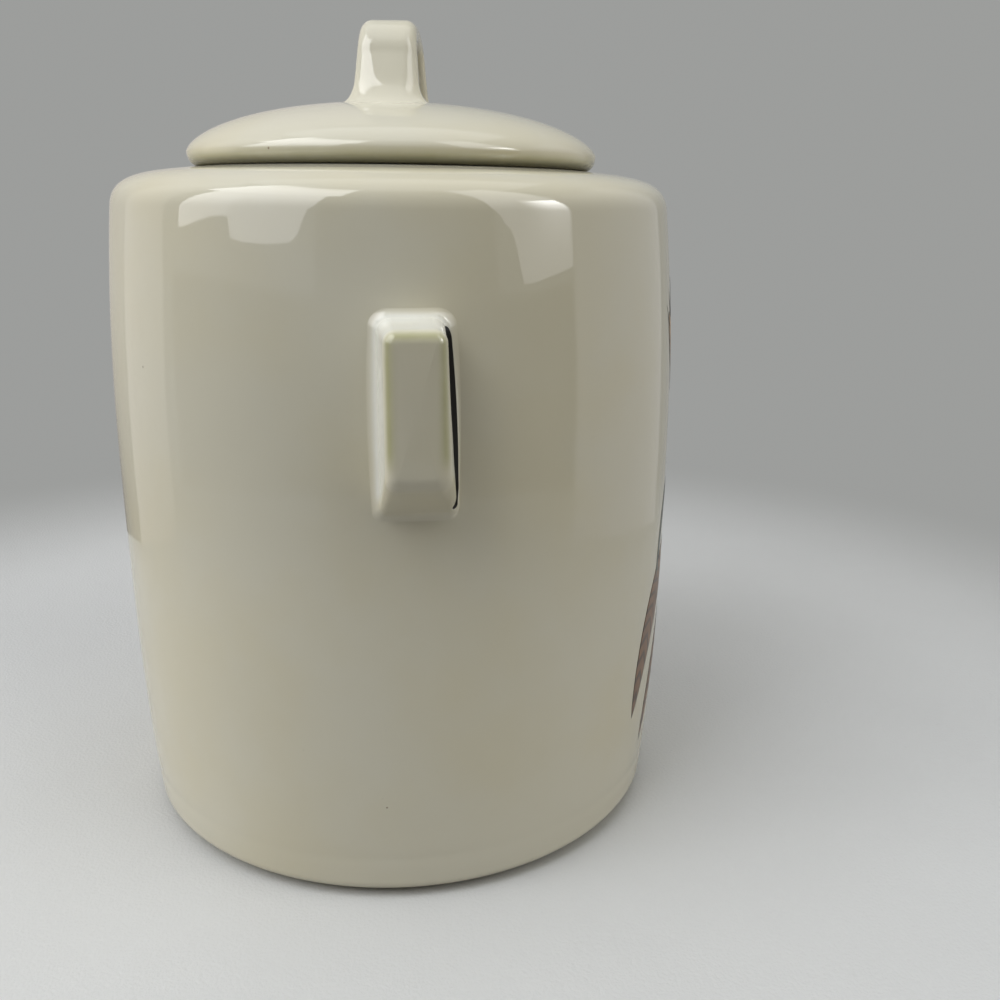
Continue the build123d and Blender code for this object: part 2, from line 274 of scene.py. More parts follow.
def ivory_glaze(name):
    """Ivory gloss glaze: slow drifts of tone, iron specks, pinholes and an uneven, softly rippled
    surface. It is thin and yellow where the mark thin is 1 and left off where bare is 1. It has
    painted light too: it is painted whiter where the sheen mark is 1, a painted sheen, and near
    black where the shade mark is 1, a painted shade, which is also rougher."""
    material = bpy.data.materials.new(name)
    material.use_nodes = True
    tree = material.node_tree
    tree.nodes.clear()
    w = Wire(tree)
    place = w.node("TexCoord", out=3)
    drift = w.noise(place, 18.0, 3.0).step(0.35, 0.68)
    colour = w.mix(drift, IVORY, IVORY_POOLED)
    thin = w.mark("thin") * (w.noise(place, 260.0) * 0.5 + 0.75)
    colour = w.mix(thin, colour, IVORY_THIN)
    # painted sheen: whiter where the sheen mark is 1
    colour = w.mix(w.mark("milky") * (w.noise(place, 120.0) * 0.4 + 0.6), colour, PAINTED_SHEEN_WHITE)
    cell = w.node("TexVoronoi", {}, {"Vector": place, "Scale": 62.0, "Randomness": 1.0})
    rare = w.noise(place, 31.0, 0.0).step(0.53, 0.56)
    speck = (1.0 - cell.step(0.010, 0.024)) * rare
    colour = w.mix(speck * 0.8, colour, BODY_SPECK)
    bare = w.mark("bare")
    clay = w.mix(w.noise(place, 420.0, 4.0).step(0.3, 0.7), BARE_CLAY, BARE_CLAY_DARK)
    colour = w.mix(bare, colour, clay)
    # painted shade: darker where the shade mark is 1
    grime = w.mark("grime")
    colour = w.mix(grime, colour, PAINTED_SHADE_DARK)
    dullness = w.noise(place, 55.0, 3.0) * 0.05 + 0.012
    roughness = dullness + bare * 0.75 + grime * 0.25 + speck * 0.3
    ripple = w.noise(place, 38.0, 1.0) + w.noise(place, 150.0, 2.0) * 0.06 - speck * 0.35
    ripple = ripple + w.noise(place, 1500.0) * bare * 0.25
    bump = w.node("Bump", {}, {"Strength": 0.28, "Distance": 0.0006, "Height": ripple})
    surface = w.node("BsdfPrincipled", {}, {"Base Color": colour, "Roughness": roughness, "Normal": bump,
                                            "IOR": GLAZE_IOR})
    w.node("OutputMaterial", {}, {0: surface})
    return material


jar_glaze = ivory_glaze("jar_glaze")
barrel.data.materials.append(jar_glaze)
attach(barrel, "jar")
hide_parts("jar_body")

# ---- The print --------------------------------------------------------------------------------------
# A tied sheaf of wheat between striped leaves, printed on the front of the barrel and fired under the
# gloss. Each brush stroke is a skin a few hundredths of a millimetre proud of the wall.
TIE_Z, EAR_COUNT, EAR_FAN = 99.0, 7, np.radians(27.0)
STALK_LENGTH, EAR_LENGTH, GRAIN_PAIRS = 42.0, 25.0, 6
GRAIN_HALF_WIDTH, AWN_HALF_WIDTH, STALK_HALF_WIDTH = 1.45, 0.22, 0.75
STROKE_ROWS, STROKE_COLUMNS, STROKE_THICKNESS = 28, 12, 0.04
STRAW, RIPE, HUSK_BROWN = (0.46, 0.28, 0.11), (0.30, 0.155, 0.060), (0.135, 0.062, 0.028)
SEDGE_GREEN, PRINT_BLACK = (0.045, 0.075, 0.048), (0.012, 0.010, 0.009)
LINE_WIDTH, ENAMEL_IOR = 0.30, 1.55  # millimetres of black round every stroke
LEAF_BENDS = (  # arcs along the wall and heights of the large leaf, the small one and the green blade
    ((5.0, 46.0, 58.5), (84.0, 92.0, 36.0)),
    ((4.0, 33.0, 47.0), (70.0, 66.0, 22.0)),
    ((5.0, 38.0, 42.5), (95.0, 128.0, 68.0)),
)
BAND_BENDS, BAND_STEP = ((-7.0, 1.5), (0.0, -2.0), (7.0, 1.5)), 3.4  # the tie has three bands
TONES = ((0.0, STRAW), (0.4, RIPE), (0.75, HUSK_BROWN), (0.95, SEDGE_GREEN))


def strokes(bends, half_width, lift):
    """Closed spindles on the wall, one after the other in a grid. Each follows the quadratic Bezier
    curve of its three bends, given as arcs along the wall from the front and as heights; its width is
    the sine of the way along, to the power 0.7. Also returns the distance from its edge and the way
    along, in millimetres."""
    way = np.linspace(0, 1, STROKE_ROWS)[None, :, None]
    first, middle, last = (bends[:, None, part] for part in range(3))
    path = first * (1 - way) ** 2 + middle * 2 * way * (1 - way) + last * way**2
    heading = np.gradient(path, axis=1)
    heading /= np.linalg.norm(heading, axis=2, keepdims=True)
    swell = np.clip(np.sin(np.pi * way), 0, None) ** 0.7
    swell[:, (0, -1)] = 0
    round_it = -np.arange(STROKE_COLUMNS) * 2 * np.pi / STROKE_COLUMNS
    width = half_width[:, None, None] * swell
    across = width * np.cos(round_it)
    arc, height = path[..., :1] + heading[..., 1:] * across, path[..., 1:] - heading[..., :1] * across
    angle = arc / WAIST_RADIUS - np.pi / 2
    radius = wall_radius(height) + hand_finish(angle, height) + lift[:, None, None]
    radius = radius + STROKE_THICKNESS * swell * np.sin(round_it)
    points = np.stack((radius * np.cos(angle), radius * np.sin(angle), height), axis=-1)
    length = np.linalg.norm(bends[:, 2] - bends[:, 0], axis=1)[:, None, None]
    marks = {"from_edge": width * (1 - np.abs(np.cos(round_it))), "along": way * length + 0 * across}
    marks = {key: value.reshape(-1, STROKE_COLUMNS) for key, value in marks.items()}
    return points.reshape(-1, STROKE_COLUMNS, 3), marks


def turned_by(angle, out, side):
    """Steps on the wall: out along a way that leans from upright by an angle, and to its side."""
    sine, cosine = np.sin(angle), np.cos(angle)
    return np.stack((out * sine + side * cosine, out * cosine - side * sine), axis=-1)


lean = np.linspace(-EAR_FAN, EAR_FAN, EAR_COUNT)
uneven = np.sin(np.arange(EAR_COUNT) * 2.4)  # no two ears are quite alike
tie = np.array((0.0, TIE_Z))
ear_foot = tie + turned_by(lean, STALK_LENGTH + 3 * uneven, 0 * lean)
ear_lean = lean * 1.12
bound = tie + turned_by(lean * 0.3, 2.0, 9 * lean)
upper_stalks = np.stack((bound, tie + turned_by(lean * 0.8, 24.0, 0 * lean), ear_foot), axis=1)
lower_stalks = np.stack((bound, tie + turned_by(-lean * 0.3, -14.0, 0 * lean),
                         tie + turned_by(lean * 0.55, -37.0 + 3 * uneven, 0 * lean)), axis=1)
step, flip = (part.ravel()[None] for part in np.meshgrid(np.arange(GRAIN_PAIRS) / GRAIN_PAIRS, (-1, 1)))
step = step + 0.04 * (flip > 0)
up, ear = ear_lean[:, None], ear_foot[:, None]
root_out, fat = EAR_LENGTH * step, 1 - 0.45 * step
grains = np.stack((ear + turned_by(up, root_out, 0.3 * flip),
                   ear + turned_by(up, root_out + 2.6, 3.9 * flip * fat),
                   ear + turned_by(up, root_out + 7.2, 2.6 * flip * fat)), axis=2)
awns = np.stack((grains[:, :, 2], ear + turned_by(up, root_out + 12.0, 4.4 * flip * fat),
                 ear + turned_by(up, root_out + 19.0 - 4 * step, 5.6 * flip * fat)), axis=2)
tips = ear + turned_by(up, EAR_LENGTH + np.array((-2.0, 2.0, 6.5)), np.zeros((1, 3)))
left_and_right = np.array((-1.0, 1.0))[:, None]
leaves = np.concatenate([np.stack((left_and_right * arcs, np.full((2, 3), heights)), axis=-1)
                         for arcs, heights in LEAF_BENDS])
bands = np.stack([tie + BAND_BENDS + (0.0, row * BAND_STEP) for row in (-1, 0, 1)])
groups = (  # bends, half-width, lift over the wall and tone of each kind of stroke
    (lower_stalks, STALK_HALF_WIDTH, 0.030, 0.30),
    (upper_stalks, STALK_HALF_WIDTH, 0.030, 0.30),
    (leaves[:2], 7.4, 0.040, 0.70),
    (leaves[2:4], 4.6, 0.050, 0.62),
    (leaves[4:], 2.6, 0.045, 1.0),
    (awns.reshape(-1, 3, 2), AWN_HALF_WIDTH, 0.035, 0.40),
    (grains.reshape(-1, 3, 2), GRAIN_HALF_WIDTH, 0.060, 0.10),
    (tips, GRAIN_HALF_WIDTH, 0.075, 0.15),
    (bands, 1.5, 0.080, 0.70),
)
count = [len(bends) for bends, *_ in groups]
half_width, lift, tone = (np.repeat([group[part] for group in groups], count) for part in (1, 2, 3))
tone = tone + 0.06 * np.sin(np.arange(len(tone)) * 1.7)
print_points, print_marks = strokes(np.concatenate([group[0] for group in groups]), half_width, lift)
print_marks["tone"] = np.repeat(tone, STROKE_ROWS)[:, None]
sheaf = skin("wheat_print", print_points, print_marks)

enamel = bpy.data.materials.new("printed_enamel")
enamel.use_nodes = True
enamel.node_tree.nodes.clear()
w = Wire(enamel.node_tree)
place = w.node("TexCoord", out=3)
shade = w.mark("tone") + w.noise(place, 300.0, 3.0) * 0.36 - 0.18
colour = w.node("ValToRGB", {"stops": TONES}, {0: shade})
slant = w.mark("along") * 1.5 + w.mark("from_edge") * 0.9
stripe = slant.sine().step(0.2, 0.7) * w.mark("tone").step(0.5, 0.55)
colour = w.mix(stripe * 0.65, colour, PRINT_BLACK)
line = 1.0 - w.mark("from_edge").step(LINE_WIDTH * 0.8, LINE_WIDTH * 1.3)
colour = w.mix(line * 0.95, colour, PRINT_BLACK)
roughness = w.noise(place, 55.0, 3.0) * 0.10 + 0.30
ripple = w.node("Bump", {}, {"Strength": 0.2, "Distance": 0.0004, "Height": w.noise(place, 150.0, 2.0)})
surface = w.node("BsdfPrincipled", {}, {"Base Color": colour, "Roughness": roughness, "Normal": ripple,
                                        "IOR": ENAMEL_IOR})
w.node("OutputMaterial", {}, {0: surface})
sheaf.data.materials.append(enamel)
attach(sheaf, "jar")

# ---- The lug handles --------------------------------------------------------------------------------
# Press-moulded clay lugs stuck on with slip: drafted flanks that run out onto the barrel in a fillet,
# a slanted underside, and a tall finger slot in the front flank behind the grip face.
LUG_HEIGHT, FACE_RADIUS = 16.6, 106.0  # grip face above the barrel, and from the jar's axis
FACE_HALF_WIDTH, FACE_LOW, FACE_HIGH = 7.5, 130.0, 167.0
FACE_CORNER, CORNER_GROWTH = 3.1, 0.5  # the corners grow by this share of the flank's run-out
LOW_CORNER_LOSS = 0.5  # share by which the two lower corners are tighter near the barrel
RIM_ROUND, FACE_CROWN = 2.9, 0.35
FLANK_DRAFT, UNDER_DRAFT = 1.56, 11.6  # how much further out the root is than the face
FLANK_FILLET, UNDER_FILLET, FILLET_BOW = 3.5, 5.0, 0.9  # the flanks' fillets are widest half way up
FRONT_LEAN, FRONT_SWELL = 1.05, 0.50  # the front flank leans out downwards
ROOT_SUNK = 0.12
SLOT_OUTER, SLOT_INNER = 0.665, 0.038  # the slot's walls, as shares of the lug's height
SLOT_MEET, SLOT_SEAM = 0.16, 0.03  # where they meet at its ends, and half of what is left between them
SLOT_TOP, SLOT_END = 1.11, -1.25  # up the flank, where its straight part is -1 to 1
CORNER_SHARE = 0.25  # what a corner adds to that measure
SLOT_TOP_ROUND, SLOT_TAPER = 0.20, 0.55  # how far the slot's ends reach, in the same measure
SLOT_REACH, SLOT_LIP = 12.6, 0.30  # depth from the front flank, and the rounding of its outer lip


def smooth(value, low, high):
    """Smooth step from 0 at low to 1 at high."""
    share = np.clip((value - low) / (high - low), 0, 1)
    return share * share * (3 - 2 * share)


def loop_of(side_steps, corner_steps):
    """Unit outline of a rounded rectangle, anticlockwise: for every point the spot of its corner
    centre or its place along a side, from -1 to 1 both ways, and its outward way."""
    along = np.linspace(-1, 1, side_steps + 1)[:-1]
    turn = np.linspace(0, np.pi / 2, corner_steps + 1)[:-1]
    side = np.stack((np.ones(side_steps), along), axis=-1), np.tile((1.0, 0.0), (side_steps, 1))
    corner = np.ones((corner_steps, 2)), np.stack((np.cos(turn), np.sin(turn)), axis=-1)
    spots, ways = np.vstack((side[0], corner[0])), np.vstack((side[1], corner[1]))
    quarter = np.array(((0.0, 1.0), (-1.0, 0.0)))
    spins = [np.linalg.matrix_power(quarter, times) for times in range(4)]
    return np.vstack([spots @ spin for spin in spins]), np.vstack([ways @ spin for spin in spins])


def run_out(height, draft, fillet):
    """How far a drafted flank is out from its edge at the face, at a height above the barrel: a
    straight line, and near the barrel an arc that is tangent to the line and to the barrel."""
    slope = np.arctan2(draft, LUG_HEIGHT)
    dip = np.sqrt(np.clip(height * (2 * fillet - height), 0, None))
    arc = draft + fillet * np.tan(np.pi / 4 - slope / 2) - dip
    return np.where(height < fillet * (1 - np.sin(slope)), arc, draft * (1 - height / LUG_HEIGHT))


def lug_skin():
    """The left lug, as loops round a rounded rectangle that follow each other from the face's centre,
    over the rim and down the flanks. Where the front flank has the slot, its loops run in along the
    slot's outer wall and back along its inner one. Near the barrel a loop's points stand their height
    above the barrel's own curve, and near the face they lie in a plane."""
    spots, ways = loop_of(80, 16)
    spot_y, spot_z, way_y, way_z = spots[:, 0], spots[:, 1], ways[:, 0], ways[:, 1]
    up_flank = spot_z + CORNER_SHARE * way_z
    from_low = np.clip((up_flank - SLOT_END) / SLOT_TAPER, 0, 1)
    from_top = np.clip((SLOT_TOP - up_flank) / SLOT_TOP_ROUND, 0, 1)
    open_here = smooth(-way_y, 0.5, 0.85) * smooth(from_low * from_top, 0.0, 0.10)
    apart = np.maximum(from_low**0.8 * np.sqrt(from_top * (2 - from_top)), smooth(spot_y, -1, 1))
    inner_wall = SLOT_MEET - SLOT_SEAM + (SLOT_INNER - SLOT_MEET + SLOT_SEAM) * apart
    outer_wall = SLOT_MEET + SLOT_SEAM + (SLOT_OUTER - SLOT_MEET - SLOT_SEAM) * apart

    across_face = np.linspace(0, 1, 8)[:-1, None]
    over_rim = np.radians(np.linspace(0, 84, 12))[:, None]
    to_slot = np.linspace(0, 1, 13)[1:, None]
    ease = np.linspace(0, 1, 31)[1:] ** 4
    # from -1 at the slot's outer lip through 0 at its bottom to 1 at the inner lip
    in_slot = np.concatenate((ease - 1, (1 - ease)[-2::-1]))[:, None]
    even = np.linspace(-1, 1, len(in_slot) + 1)[1:, None]
    to_barrel = np.linspace(0, 1, 20)[1:, None]
    rim_level = 1 - RIM_ROUND * (1 - np.cos(over_rim)) / LUG_HEIGHT
    half_gap = (outer_wall - inner_wall) / 2
    depth = np.sqrt(1 - np.abs(in_slot) ** 5)
    side = np.sign(in_slot) * np.abs(in_slot) ** 0.35
    lip = SLOT_LIP / LUG_HEIGHT * (1 - np.exp(-depth * SLOT_REACH / SLOT_LIP)) * (in_slot < 0)
    past = inner_wall + half_gap * (1 - even)
    through = inner_wall + half_gap - side * np.clip(half_gap - lip, 0, None)
    level = np.vstack((
        np.ones((len(across_face), len(spots))),
        rim_level + 0 * outer_wall,
        rim_level[-1] + (outer_wall - rim_level[-1]) * to_slot,
        past + (through - past) * open_here,
        inner_wall * (1 - to_barrel) ** 1.5,
    ))
    top, rows = len(across_face), len(level)
    rim = slice(top, top + len(over_rim))
    slot = slice(rim.stop + len(to_slot), rim.stop + len(to_slot) + len(in_slot))
    reach, spread, inside = np.zeros_like(level), np.ones((rows, 1)), np.ones((rows, 1))
    inset, rim_mark = np.zeros((rows, 1)), np.zeros((rows, 1))
    reach[slot] = depth * SLOT_REACH * open_here
    spread[:top] = across_face
    inset[:top], inset[rim] = RIM_ROUND, RIM_ROUND * (1 - np.sin(over_rim))
    rim_mark[rim] = np.exp(-(((over_rim - 0.75) / 0.45) ** 2))
    # painted shade is full on the slot's inner wall and 0.72 of that on its outer wall
    inside[slot] = 0.72 + 0.28 * smooth(in_slot, -0.5, 0.5)

    height = level * LUG_HEIGHT
    out = run_out(height, FLANK_DRAFT, FLANK_FILLET + FILLET_BOW * (0.5 - spot_z**2))
    high, low = FACE_HIGH + out, FACE_LOW - run_out(height, UNDER_DRAFT, UNDER_FILLET)
    corner = FACE_CORNER + CORNER_GROWTH * out - inset
    corner = corner * (1 - LOW_CORNER_LOSS * smooth(-spot_z, 0, 1) * (1 - smooth(level, 0.3, 0.9)))
    y = (spot_y * (FACE_HALF_WIDTH + out - inset - corner) + way_y * corner) * spread + reach
    shift = (FRONT_SWELL - FRONT_LEAN * spot_z) * smooth(-spot_y, 0, 1)
    y -= shift * (1 - level**4) * smooth(level, 0, 0.055)
    z = (low + high) / 2 + (spot_z * ((high - low) / 2 - inset - corner) + way_z * corner) * spread
    base = np.sqrt((wall_radius(z) + hand_finish(np.pi, z) - ROOT_SUNK) ** 2 - y**2)
    plane = smooth(level, 0.05, 0.95)
    x = base * (1 - plane) + (FACE_RADIUS - LUG_HEIGHT) * plane + height + FACE_CROWN * (1 - spread**2)
    points = np.stack((-x, y, z), axis=-1)
    # the last row is one point inside the barrel's wall, which closes the skin
    root = np.repeat(points[-1:].mean(axis=1, keepdims=True) + (1.0, 0, 0), points.shape[1], axis=1)
    down_flank = (1 - smooth(level, 0.75, 0.95)) * smooth(level, 0.0, 0.1)
    # marks: thin glaze over the rim; painted shade deep in the slot; painted sheen, a whiter tone down the
    # flanks
    marks = {
        "thin": rim_mark * smooth(spot_z, -1.0, -0.6),
        "grime": smooth(reach, 0.02, 0.12) * inside,
        "milky": down_flank * smooth(spot_z, -1.0, -0.85),
    }
    marks = {key: np.vstack((value, value[-1:])) for key, value in marks.items()}
    return np.concatenate((points, root)), marks


lug_points, lug_marks = lug_skin()
for name, node, side in (("left_lug", "side_handle_left", 1), ("right_lug", "side_handle_right", -1)):
    # the right lug is the left one's mirror image, so its loops go round the other way
    lug = skin(name, (lug_points * (side, 1, 1))[:, ::side],
               {key: value[:, ::side] for key, value in lug_marks.items()})
    lug.data.materials.append(jar_glaze)
    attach(lug, "jar")
    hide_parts(node)

# ---- The lid ----------------------------------------------------------------------------------------
# Slip-cast in the same earthenware and glaze as the barrel: a dome with a bull-nosed rim, hollow
# underneath, and a skirt that drops into the mouth. It lies loose on the seat.
LID_RADIUS, LID_RIM_Z, LID_TOP_Z = 62.8, 208.5, 223.7
DOME_POWER_R, DOME_POWER_Z = 2.2, 1.65
LID_SEAT_RADIUS, LID_SEAT_Z = 59.4, SEAT_Z + SEAT_RISE * 0.85
HOLLOW_TOP_Z, HOLLOW_EDGE_Z = 217.0, 208.4
SKIRT_RADIUS, SKIRT_INNER_RADIUS, SKIRT_LOW_Z, SKIRT_ROUND = 54.8, 49.8, 195.6, 1.8
LID_COLUMNS = 256


def dome_z(radius):
    """Height of the lid's outside: a superellipse of radius and height."""
    share = np.clip(radius / LID_RADIUS, 0, 1)
    return LID_RIM_Z + (LID_TOP_Z - LID_RIM_Z) * (1 - share**DOME_POWER_R) ** (1 / DOME_POWER_Z)


over_dome = np.linspace(0, np.pi / 2, 60)[:-1]
hollow_share = np.linspace(0, 1, 20)[:-1]
lid_line = np.vstack((
    straight((0, HOLLOW_TOP_Z), (0.1, HOLLOW_TOP_Z), 1),
    np.stack(((SKIRT_INNER_RADIUS - 3) * hollow_share[1:],
              HOLLOW_TOP_Z - (HOLLOW_TOP_Z - HOLLOW_EDGE_Z - 1.2) * hollow_share[1:] ** 2), axis=-1),
    bend((SKIRT_INNER_RADIUS - 3, HOLLOW_EDGE_Z - 2), (3, 3), 90, 0, 6),
    straight((SKIRT_INNER_RADIUS, HOLLOW_EDGE_Z - 2), (SKIRT_INNER_RADIUS, SKIRT_LOW_Z + 1.5), 6),
    bend((SKIRT_INNER_RADIUS + 1.5, SKIRT_LOW_Z + 1.5), (1.5, 1.5), 180, 270, 5),
    bend((SKIRT_RADIUS - SKIRT_ROUND, SKIRT_LOW_Z + SKIRT_ROUND), (SKIRT_ROUND, SKIRT_ROUND), -90, 0, 6),
    straight((SKIRT_RADIUS, SKIRT_LOW_Z + SKIRT_ROUND), (SKIRT_RADIUS, SEAT_Z - 0.4), 5),
    straight((SKIRT_RADIUS, SEAT_Z + SEAT_RISE), (LID_SEAT_RADIUS, LID_SEAT_Z), 4),
    bend((LID_SEAT_RADIUS, LID_RIM_Z), (LID_RADIUS - LID_SEAT_RADIUS, LID_RIM_Z - LID_SEAT_Z), -90, 0, 24),
    np.stack((LID_RADIUS * np.cos(over_dome) ** (2 / DOME_POWER_R),
              LID_RIM_Z + (LID_TOP_Z - LID_RIM_Z) * np.sin(over_dome) ** (2 / DOME_POWER_Z)), axis=-1),
    np.array([(0, LID_TOP_Z)]),
))
# under the rim the glaze is thin and yellow, and painted shade darkens it towards the gap above the seat
under_rim = 1 - smooth(lid_line[:, 1:], LID_SEAT_Z + 0.5, LID_RIM_Z + 0.8)
under_rim = under_rim * (lid_line[:, :1] > SKIRT_RADIUS + 1)
lid = skin("domed_lid", turned(lid_line, LID_COLUMNS), {"thin": under_rim, "grime": 0.75 * under_rim**2})
lid_glaze = ivory_glaze("lid_glaze")
lid.data.materials.append(lid_glaze)
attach(lid, "cover")
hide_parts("lid")

# ---- The strap loop ---------------------------------------------------------------------------------
# A flat strap of clay bent into an arch and stuck on the dome: wider at the feet than at the top, with
# soft edges, turned a little from the lugs because the lid is loose.
LOOP_TURN = np.radians(-7.5)
LOOP_TOP_Z, LOOP_CROWN, LOOP_BASE_Z = 246.8, 0.7, 222.0
OUTER_HEAD, OUTER_FOOT, OUTER_CORNER = 21.8, 28.0, 13.0
GAP_HEAD, GAP_FOOT, GAP_CORNER, GAP_TOP_Z = 15.0, 19.4, 7.5, 239.6
STRAP_HEAD_WIDTH, STRAP_FOOT_WIDTH, STRAP_EDGE, FOOT_EDGE = 15.8, 19.2, 3.2, 8.6
LOOP_FLARE, LOOP_FLARE_RISE, LOOP_SUNK = 3.0, 6.0, 0.15
STRAP_CROWN = 0.9  # how much lower the outer face's edges are than its middle, at the feet


def arch(head, foot, top, corner, leg_steps, corner_steps, top_steps):
    """Points of an upright arch from its left foot to its right one: a leg, an arc that is tangent to
    the leg and the top, and the crowned top, then the same mirrored. The leg's points are closest
    together at its foot."""
    slope = np.arctan2(foot - head, top - LOOP_BASE_Z)
    shoulder = np.array((-head + corner, top - LOOP_CROWN - corner))
    turn = np.linspace(np.pi - slope, np.pi / 2, corner_steps)
    arc = shoulder + corner * np.stack((np.cos(turn), np.sin(turn)), axis=-1)
    foot_point = np.array((-foot, LOOP_BASE_Z))
    leg = foot_point + (arc[0] - foot_point) * np.linspace(0, 1, leg_steps + 1)[:-1, None] ** 2
    x = np.linspace(arc[-1, 0], 0, top_steps + 1)[1:]
    crown = np.stack((x, top - LOOP_CROWN * (x / arc[-1, 0]) ** 2), axis=-1)
    half = np.vstack((leg, arc, crown))
    return np.vstack((half, half[-2::-1] * np.array((-1, 1))))


def loop_skin():
    """Sections of the strap follow the arch. Each is a rounded rectangle between the inner and the
    outer arch, as wide as its height gives, with elliptical corners that are wider near the foot and
    an outer face that is crowned there. Near the dome it grows by a quarter-ellipse flare, and its
    height above the dome takes the place of its height above the base."""
    outer = arch(OUTER_HEAD, OUTER_FOOT, LOOP_TOP_Z, OUTER_CORNER, 26, 22, 12)
    inner = arch(GAP_HEAD, GAP_FOOT, GAP_TOP_Z, GAP_CORNER, 26, 22, 12)
    middle, reach = (outer + inner) / 2, outer - inner
    half_thick = np.linalg.norm(reach, axis=1, keepdims=True) / 2
    outward = reach / (2 * half_thick)
    rise = np.clip((middle[:, 1:] - LOOP_BASE_Z) / (LOOP_TOP_Z - LOOP_BASE_Z), 0, 1)
    half_width = (STRAP_FOOT_WIDTH + (STRAP_HEAD_WIDTH - STRAP_FOOT_WIDTH) * rise) / 2
    height = middle[:, 1:] - LOOP_BASE_Z - LOOP_SUNK
    low = np.clip(1 - height / LOOP_FLARE_RISE, 0, 1)
    flare = LOOP_FLARE * (1 - np.sqrt(1 - low**2))
    spots, ways = loop_of(10, 10)
    edge, across = np.minimum(STRAP_EDGE, half_thick * 0.85), FOOT_EDGE + (STRAP_EDGE - FOOT_EDGE) * rise**0.3
    out_by = spots[None, :, 0] * (half_thick - edge) + ways[None, :, 0] * (edge + flare)
    y = spots[None, :, 1] * (half_width - across) + ways[None, :, 1] * (across + flare)
    crown = STRAP_CROWN * (1 - smooth(rise, 0, 0.6)) * (y / half_width) ** 2
    out_by -= crown * np.clip(ways[None, :, 0], 0, 1)
    x = middle[:, :1] + outward[:, :1] * out_by
    z = middle[:, 1:] + outward[:, 1:] * out_by
    # the feet follow the dome
    near_foot = 1 - smooth(height, 0.0, 9.0)
    z = z * (1 - near_foot) + (dome_z(np.hypot(x, y)) + height) * near_foot
    points = np.stack((x, y, z), axis=-1)
    # a point inside the lid's wall closes each end
    ends = [points[end].mean(axis=0, keepdims=True) - (0, 0, 1.0) for end in (0, -1)]
    ends = [np.repeat(end[None], points.shape[1], axis=1) for end in ends]
    points = np.concatenate((ends[0], points, ends[1]))
    sine, cosine = np.sin(LOOP_TURN), np.cos(LOOP_TURN)
    spin = np.array(((cosine, sine, 0), (-sine, cosine, 0), (0, 0, 1)))
    # painted shade: the arch's inner side, facing the gap, is painted darker
    in_gap = np.broadcast_to(smooth(-ways[:, 0], 0.3, 0.9), points.shape[:2])
    return (points @ spin)[:, ::-1], {"grime": 0.5 * in_gap[:, ::-1]}


strap_loop = skin("strap_loop", *loop_skin())
strap_loop.data.materials.append(lid_glaze)
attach(strap_loop, "cover")
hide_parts("lid_handle")

# ---- The floor --------------------------------------------------------------------------------------
# A pale, softly rumpled cloth over the table round the jar. Away from the jar it passes into the grey
# of the room, so that no edge of it shows. Sizes from here on are in metres.
FLOOR_REACH = 6.0
ROOM_GREY = (0.335, 0.340, 0.332)
CLOTH, CLOTH_PALER = (0.63, 0.63, 0.63), (0.68, 0.68, 0.68)
CLOTH_BOUNCE = (0.45, 0.44, 0.41)  # its tone for the light that it throws back at the jar
CLOTH_END = (0.24, 0.46)  # from the axis, where it begins and ends passing into the grey


def stage_sheet(name, corners):
    """A flat or curved sheet of quads over a grid of points in metres, which isn't part of the jar."""
    rows, columns = corners.shape[:2]
    index = np.arange(rows * columns).reshape(rows, columns)
    quads = np.stack((index[:-1, :-1], index[:-1, 1:], index[1:, 1:], index[1:, :-1]), axis=-1)
    sheet = bpy.data.objects.new(name, bpy.data.meshes.new(name))
    sheet.data.from_pydata(corners.reshape(-1, 3).tolist(), [], quads.reshape(-1, 4).tolist())
    bpy.context.scene.collection.objects.link(sheet)
    return sheet


ends = np.array((-FLOOR_REACH, FLOOR_REACH))
floor = stage_sheet("floor", np.stack((*np.meshgrid(ends, ends), np.zeros((2, 2))), axis=-1))
cloth = bpy.data.materials.new("pale_cloth")
cloth.use_nodes = True
cloth.node_tree.nodes.clear()
w = Wire(cloth.node_tree)
place = w.node("TexCoord", out=3)
seen = w.node("LightPath", out="Is Camera Ray") + w.node("LightPath", out="Is Glossy Ray")
tone = w.mix(w.noise(place, 9.0, 3.0), CLOTH, CLOTH_PALER)
tone = w.mix(seen, CLOTH_BOUNCE, tone)
weave = w.noise(place, 900.0, 2.0) * 0.2 + w.noise(place, 14.0, 2.0)
folds = w.node("Bump", {}, {"Strength": 0.25, "Distance": 0.004, "Height": weave})
near = w.node("BsdfPrincipled", {}, {"Base Color": tone, "Roughness": 0.9, "Specular IOR Level": 0.1,
                                     "Normal": folds})
far = w.node("Emission", {}, {"Color": (*ROOM_GREY, 1.0), "Strength": seen})
distance = w.node("VectorMath", {"operation": "LENGTH"}, {0: place}, 1)
both = w.node("MixShader", {}, {0: distance.step(*CLOTH_END), 1: near, 2: far})
w.node("OutputMaterial", {}, {0: both})
floor.data.materials.append(cloth)

# ---- The light --------------------------------------------------------------------------------------
# Soft lamps give the light. What the glaze mirrors is cards that only reflections see: a dark room
# behind the eye between two bright windows, white boards at both sides, and the ceiling.


